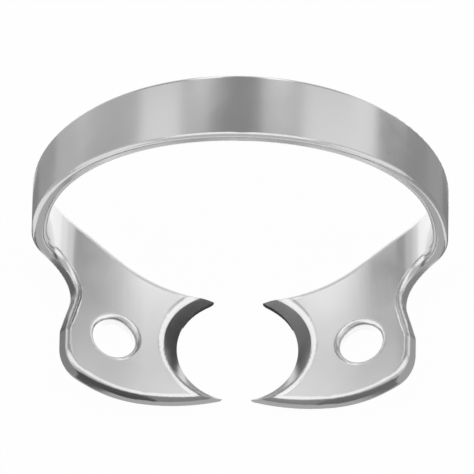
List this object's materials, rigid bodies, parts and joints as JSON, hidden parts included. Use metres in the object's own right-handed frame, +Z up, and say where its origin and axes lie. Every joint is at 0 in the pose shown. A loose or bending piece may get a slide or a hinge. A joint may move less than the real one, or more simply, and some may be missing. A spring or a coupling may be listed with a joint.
{
  "type": "rubber dam clamp",
  "caption": "Wingless dental rubber dam clamp: a bent spring steel strip whose arched bow joins jaws with pointed prongs, a bevelled grip and forceps holes.",
  "frame": {"origin": "on the axis of the gripped tooth, midway between the jaws, at the level of the prong tips", "axes": "+Z up the tooth towards its crown, +Y back towards the bow, X from jaw to jaw"},
  "size_m": [0.025, 0.0124, 0.0183],
  "materials": {
    "steel": "satin polished, with polished round edges"
  },
  "bodies": {
    "root": {"clamp": "steel"}
  },
  "joints": []
}
